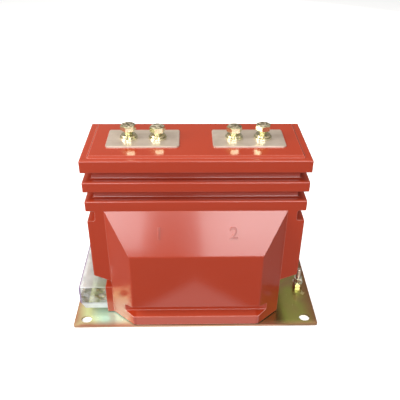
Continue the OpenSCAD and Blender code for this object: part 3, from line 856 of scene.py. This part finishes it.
class TransformerColours(bpy.types.PropertyGroup):
    """Colours of the finishes."""

    resin: bpy.props.FloatVectorProperty(
        name="Resin", description="Main colour of the casting", subtype="COLOR", size=4,
        default=from_screen(179, 58, 29), min=0.0, max=1.0)
    resin_dark: bpy.props.FloatVectorProperty(
        name="Resin, deeper", description="Deeper colour that drifts through the casting",
        subtype="COLOR", size=4, default=from_screen(173, 55, 28), min=0.0, max=1.0)
    resin_dust: bpy.props.FloatVectorProperty(
        name="Dust", description="Colour of the fine dust on the casting", subtype="COLOR",
        size=4, default=from_screen(198, 110, 82), min=0.0, max=1.0)
    mark: bpy.props.FloatVectorProperty(
        name="Marks", description="Rubbed tops of the raised numbers", subtype="COLOR",
        size=4, default=from_screen(146, 44, 28), min=0.0, max=1.0)
    tin: bpy.props.FloatVectorProperty(
        name="Tin", description="Tinned terminal faces", subtype="COLOR", size=4,
        default=from_screen(218, 202, 188), min=0.0, max=1.0)
    cover: bpy.props.FloatVectorProperty(
        name="Cover", description="Clear cover seen square on", subtype="COLOR", size=4,
        default=from_screen(232, 236, 240), min=0.0, max=1.0)
    cover_edge: bpy.props.FloatVectorProperty(
        name="Cover edge", description="Clear cover seen on edge", subtype="COLOR", size=4,
        default=from_screen(150, 130, 162), min=0.0, max=1.0)


def sizes():
    return bpy.context.scene.transformer_sizes


def colours():
    return bpy.context.scene.transformer_colours


# ----------------------------------------------------------------- operators

class TRANSFORMER_OT_casting(bpy.types.Operator):
    """Finish the resin casting"""
    bl_idname = "transformer.casting"
    bl_label = "Casting"

    def execute(self, context):
        paint_nodes(resin_finish(colours()), "resin_body")
        return {"FINISHED"}


class TRANSFORMER_OT_marks(bpy.types.Operator):
    """Raise a plain number under each primary terminal"""
    bl_idname = "transformer.marks"
    bl_label = "Terminal numbers"

    def execute(self, context):
        across = Vector((1.0, 0.0, 0.0))
        foot = Vector((0.0, corners("resin_body")[0].y, SLOPE_LOW))
        head = Vector((0.0, -span("terminal_cover", 1) / 2, SLOPE_HIGH))
        up = (head - foot).normalized()
        out = across.cross(up)
        material = mark_finish(colours(), out)
        drop, aside, sunk = 32 * MM, 52 * MM, 0.2 * MM  # down the slope, sideways and into it
        for number, node in (("1", "terminal_left"), ("2", "terminal_right")):
            text = bpy.data.curves.new("number_" + number, "FONT")
            text.body = number
            text.size = 1.4 * sizes().mark_height  # a digit is lower than the font's size
            text.align_x = "CENTER"
            text.align_y = "CENTER"
            text.extrude = sizes().mark_relief
            text.offset = -0.3 * MM
            text.bevel_depth = 0.7 * MM
            text.bevel_resolution = 2
            piece = settle(linked("number", text), "raised_number_" + number, material)
            side = math.copysign(aside, middle(node).x)
            seat = head - up * drop + across * side - out * sunk
            piece.data.transform(pose(across, up, out, seat))
            ready(piece, "resin")
        return {"FINISHED"}


class TRANSFORMER_OT_base_plate(bpy.types.Operator):
    """Finish the yellow zinc plated base plate"""
    bl_idname = "transformer.base_plate"
    bl_label = "Base plate"

    def execute(self, context):
        paint_nodes(plate_finish(), "base_plate")
        return {"FINISHED"}


class TRANSFORMER_OT_terminals(bpy.types.Operator):
    """Finish the two tinned terminal blocks"""
    bl_idname = "transformer.terminals"
    bl_label = "Terminal blocks"

    def execute(self, context):
        paint_nodes(tinned_finish(colours()), "terminal_left", "terminal_right")
        return {"FINISHED"}


class TRANSFORMER_OT_bolts(bpy.types.Operator):
    """Make the four terminal bolts with threads and chamfered heads"""
    bl_idname = "transformer.bolts"
    bl_label = "Terminal bolts"

    def execute(self, context):
        size = sizes()
        material = bolt_zinc()
        outer = levels("terminal_bolts")[1] - size.bolt_head
        head = new_piece("head", hexagon_part(size.bolt_flats, size.bolt_head))
        play, into_head = 0.05 * MM, 0.3 * MM
        rod = threaded_rod(size.bolt_thread / 2 - play, size.bolt_length,
                           pitch=1.75 * MM, top=into_head, material=material)
        places = []
        for place, turn in enumerate(size.bolt_turns):
            block = middle("terminal_left" if place < 2 else "terminal_right")
            x = block.x + size.bolt_pitch * (place % 2 - 0.5)
            level = outer if place in (0, 3) else outer - INNER_DROP
            places.append(((x, 0.0, level), (0.0, 0.0, turn)))
        set_out("primary_bolts", joined(head, rod), places, material, "bolt", "terminal_bolts")
        return {"FINISHED"}


class TRANSFORMER_OT_washers(bpy.types.Operator):
    """Make the flat and the split washers under the terminal bolts"""
    bl_idname = "transformer.washers"
    bl_label = "Terminal washers"

    def execute(self, context):
        material = bolt_zinc()
        places = [((middle(node).x + side * sizes().bolt_pitch, 0.0, 0.0), UNTURNED)
                  for node in ("terminal_left", "terminal_right") for side in (-0.5, 0.5)]
        node = "terminal_flat_washers"
        disc = washer(inner=6.5 * MM, outer=12.5 * MM, between=levels(node), ease=0.3 * MM)
        set_out("flat_washers", disc, places, material, "bolt", node)
        node = "terminal_spring_washers"
        coil = washer(inner=6.2 * MM, outer=10.25 * MM, between=levels(node), ease=0.25 * MM,
                      columns=72, arc=math.radians(349), rise=0.5 * MM)
        set_out("split_washers", coil, places, material, "bolt", node)
        return {"FINISHED"}


class TRANSFORMER_OT_secondary(bpy.types.Operator):
    """Make the secondary studs with their nuts and washers"""
    bl_idname = "transformer.secondary"
    bl_label = "Secondary terminals"

    def execute(self, context):
        material = brass()
        low, high = corners("secondary_studs")
        count = 8
        thread, foot, foot_height = 2.96 * MM, 5 * MM, 4 * MM  # two radii, and a height
        pitch = (high.y - low.y - 2 * foot) / (count - 1)
        level = (low.z + high.z) / 2

        def row(x):
            return [((x, (i - (count - 1) / 2) * pitch, level), LAID_LEFT) for i in range(count)]

        shelf = right_side("secondary_lock_nuts")
        free = shelf - low.x
        rod = threaded_rod(thread, free, pitch=1.0 * MM, top=free, material=material,
                           columns=24, rows=6)
        root = shelf - high.x
        stem = new_piece("stem", turned_solid([
            (thread, 0.1 * MM), (thread, root + foot_height), (foot, root + foot_height),
            (foot, root)], 24))
        set_out("stud_row", joined(rod, stem), row(shelf), material, "stud", "secondary_studs")
        for name, node in (("lock_nut_row", "secondary_lock_nuts"), ("nut_row", "secondary_nuts")):
            nut = new_piece("nut", hexagon_part(
                flats=10 * MM, height=5 * MM, bore=3 * MM, columns=48))
            set_out(name, nut, row(right_side(node)), material, "stud", node)
        for place in ("inner", "outer"):
            node = f"secondary_{place}_washers"
            disc = washer(inner=3 * MM, outer=6 * MM, between=(0.0, span(node, 0)),
                          ease=0.15 * MM, columns=40)
            set_out(f"{place}_washer_row", disc, row(right_side(node)), material, "stud", node)
        return {"FINISHED"}


class TRANSFORMER_OT_cover(bpy.types.Operator):
    """Make the clear cover over the secondary terminals, and its screws"""
    bl_idname = "transformer.cover"
    bl_label = "Terminal cover"

    def execute(self, context):
        cover = eased_copy(
            "clear_cover", "terminal_cover", sizes().edge_ease, clear_finish(colours()))
        ready(cover, "cover", "terminal_cover")
        low, high = corners("cover_screws")
        level, radius, head = (low.z + high.z) / 2, (high.z - low.z) / 2, 3 * MM
        screw = slotted_screw(radius, head, shank=2 * MM, slot=1.2 * MM, depth=1 * MM,
                              length=high.x - low.x)
        aside = (high.y - low.y) / 2 - radius
        places = [((low.x + head, side * aside, level), LAID_LEFT) for side in (-1, 1)]
        set_out("seal_screws", screw, places, steel(), "screw", "cover_screws")
        paint_nodes(brass(), "cover_inserts")
        return {"FINISHED"}


class TRANSFORMER_OT_earthing(bpy.types.Operator):
    """Make the earthing stud with its nuts and washers"""
    bl_idname = "transformer.earthing"
    bl_label = "Earthing stud"

    def execute(self, context):
        material = bolt_zinc()
        centre = middle("earth_stud")
        length = span("earth_stud", 2)
        places = [((centre.x, 0.0, 0.0), UNTURNED)]
        rod = threaded_rod(3.95 * MM, length, pitch=1.25 * MM, top=length, material=steel())
        set_out("earthing_stud", rod, places, steel(), "screw", "earth_stud")
        for name, node, turn in (("earthing_lower_nut", "earth_lower_nut", -3),
                                 ("earthing_upper_nut", "earth_upper_nut", 15)):
            nut = new_piece("nut", hexagon_part(
                flats=13 * MM, height=span(node, 2), bore=4 * MM))
            seat = ((centre.x, 0.0, levels(node)[0]), (0.0, 0.0, math.radians(turn)))
            set_out(name, nut, [seat], material, "bolt", node)
        node = "earth_washer"
        disc = washer(inner=4.2 * MM, outer=8.25 * MM, between=levels(node), ease=0.2 * MM)
        set_out("earthing_washer", disc, places, material, "bolt", node)
        node = "earth_spring_washer"
        coil = washer(inner=4.2 * MM, outer=7 * MM, between=levels(node), ease=0.2 * MM,
                      columns=60, arc=math.radians(348), rise=0.3 * MM)
        set_out("earthing_split_washer", coil, places, material, "bolt", node)
        ready(self.symbol(centre, levels("base_plate")[1]), "plate")
        return {"FINISHED"}

    def symbol(self, centre, level):
        """Earth sign beside the stud: an upright and three bars, each shorter than the last."""
        x, y, z = centre.x + 5 * MM, centre.y - 20 * MM, level + 0.02 * MM
        stroke, thick = 0.7, 0.2
        bars = [(3.0, stroke, 5.0)] + [(-1.8 * row, 7.0 - 2.4 * row, stroke) for row in range(3)]
        work = bmesh.new()
        for ahead, width, depth in bars:
            add_box(work, (x, y + ahead * MM, z), (width * MM, depth * MM, thick * MM))
        return new_piece("earth_sign", closed_mesh(work), sign_steel())


class TRANSFORMER_OT_inside(bpy.types.Operator):
    """Finish what the casting hides"""
    bl_idname = "transformer.inside"
    bl_label = "Cast in pieces"

    def execute(self, context):
        copper = metal_finish("bare_copper", (196, 120, 84), 0.3)
        paint_nodes(copper, "primary_conductor", "secondary_leads")
        paint_nodes(core_finish(), "core_1", "core_2", "core_3", "core_4")
        paint_nodes(winding_finish(), "winding_1", "winding_2", "winding_3", "winding_4")
        paint_nodes(brass(), "base_inserts")
        paint_nodes(bolt_zinc(), "base_screws")
        return {"FINISHED"}


class TRANSFORMER_OT_stage(bpy.types.Operator):
    """Set the floor, the studio light and the camera"""
    bl_idname = "transformer.stage"
    bl_label = "Stage"

    def execute(self, context):
        context.scene.view_settings.view_transform = "Standard"
        self.floor()
        self.surroundings(context.scene)
        front, body = (0.0, -0.09, 0.16), (0.0, 0.0, 0.15)  # places that lamps aim at
        self.lamp("left_front_box", (-0.65, -2.0, 1.15), front, (0.9, 0.9), 17.8)
        self.lamp("right_front_box", (0.47, -2.0, 1.05), front, (0.9, 0.9), 18.4)
        self.lamp("left_box", (-1.4, -0.4, 1.2), body, (1.0, 1.0), 26.0)
        self.lamp("top_fill", (0.1, 1.2, 1.9), (0.0, 0.0, 0.2), (1.0, 1.0), 22.0)
        self.lamp("back_fill", (1.2, 1.8, 0.5), body, (1.0, 0.8), 14.0)
        self.camera(context.scene)
        return {"FINISHED"}

    def floor(self):
        work = bmesh.new()
        bmesh.ops.create_grid(work, x_segments=1, y_segments=1, size=6.0)
        floor = new_piece("floor", closed_mesh(work), floor_finish())

    def surroundings(self, scene):
        """Even light, and a dim room with a ceiling and a window for what mirrors it."""
        world = bpy.data.worlds.new("studio")
        scene.world = world
        world.use_nodes = True
        graph = Graph(world.node_tree)
        background = next(n for n in graph.tree.nodes if n.type == "BACKGROUND")
        seen, mirrored = graph.rays()
        x, y, z = graph.split(graph.add("ShaderNodeTexCoord", out="Generated"))
        wall = 0.17 + 0.3 * (0.33 - 1.2 * x).clipped()
        ceiling = 0.8 * (4.0 * z - 2.5).clipped()
        window = 1.2 * (-4.0 * y - 2.0).clipped() * (8.0 * z - 3.6).clipped()
        even = 0.34
        strength = even + (1.0 - even) * seen + (wall + ceiling + window - even) * mirrored
        plug(graph.tree, background.inputs["Strength"], strength)
        plug(graph.tree, background.inputs["Color"],
             graph.blend(mirrored, grey(1.0), (1.0, 0.93, 0.8, 1.0)))

    def lamp(self, name, place, aim, size, watts):
        """Rectangular lamp. Only a box is mirrored, and the boxes in front are cooler."""
        light = bpy.data.lights.new(name, "AREA")
        light.shape = "RECTANGLE"
        light.size, light.size_y = size
        light.energy = watts
        cooler = name.endswith("front_box")
        light.color = (0.94, 0.98, 1.0) if cooler else (1.0, 0.97, 0.9)
        lamp = linked(name, light)
        towards = Vector(aim) - Vector(place)
        turn = towards.to_track_quat("-Z", "Y").to_matrix().to_4x4()
        lamp.matrix_world = Matrix.Translation(place) @ turn
        lamp.visible_glossy = name.endswith("box")

    def camera(self, scene):
        """The photo's own view: where the camera stood, its turns and its focal length."""
        place = Vector((-9.8, -664.1, 589.7)) * MM
        pitch, yaw, roll = (math.radians(angle) for angle in (32.2, 1.4, 0.5))
        focal, width = 524.8, 400  # focal length and picture width, both in pixels
        ahead = Vector((math.sin(yaw) * math.cos(pitch), math.cos(yaw) * math.cos(pitch),
                        -math.sin(pitch)))
        level = Vector((math.cos(yaw), -math.sin(yaw), 0.0))
        up = level.cross(ahead)
        side = level * math.cos(roll) + up * math.sin(roll)
        top = up * math.cos(roll) - level * math.sin(roll)
        data = bpy.data.cameras.new("camera")
        data.sensor_width = 36.0
        data.lens = focal / width * data.sensor_width
        data.clip_end = 50.0
        camera = linked("camera", data)
        camera.matrix_world = pose(side, top, -ahead, place)
        scene.camera = camera


OPERATORS = (
    TRANSFORMER_OT_casting, TRANSFORMER_OT_marks, TRANSFORMER_OT_base_plate,
    TRANSFORMER_OT_terminals, TRANSFORMER_OT_bolts, TRANSFORMER_OT_washers,
    TRANSFORMER_OT_secondary, TRANSFORMER_OT_cover, TRANSFORMER_OT_earthing,
    TRANSFORMER_OT_inside, TRANSFORMER_OT_stage)


class TRANSFORMER_PT_panel(bpy.types.Panel):
    """Lists the sizes, the colours and the pieces"""
    bl_idname = "TRANSFORMER_PT_panel"
    bl_label = "Current transformer"
    bl_space_type = "VIEW_3D"
    bl_region_type = "UI"
    bl_category = "Transformer"

    def draw(self, context):
        for group in (context.scene.transformer_sizes, context.scene.transformer_colours):
            box = self.layout.box()
            for name in group.bl_rna.properties.keys():
                if name not in ("rna_type", "name"):
                    box.prop(group, name)
        column = self.layout.column(align=True)
        for operator in OPERATORS:
            column.operator(operator.bl_idname)


CLASSES = (TransformerSizes, TransformerColours) + OPERATORS + (TRANSFORMER_PT_panel,)


def register():
    for item in CLASSES:
        bpy.utils.register_class(item)
    bpy.types.Scene.transformer_sizes = bpy.props.PointerProperty(type=TransformerSizes)
    bpy.types.Scene.transformer_colours = bpy.props.PointerProperty(type=TransformerColours)


def unregister():
    del bpy.types.Scene.transformer_colours
    del bpy.types.Scene.transformer_sizes
    for item in reversed(CLASSES):
        bpy.utils.unregister_class(item)


def main():
    register()
    bpy.ops.transformer.casting()
    bpy.ops.transformer.marks()
    bpy.ops.transformer.base_plate()
    bpy.ops.transformer.terminals()
    bpy.ops.transformer.bolts()
    bpy.ops.transformer.washers()
    bpy.ops.transformer.secondary()
    bpy.ops.transformer.cover()
    bpy.ops.transformer.earthing()
    bpy.ops.transformer.inside()
    bpy.ops.transformer.stage()


if __name__ == "__main__":
    main()
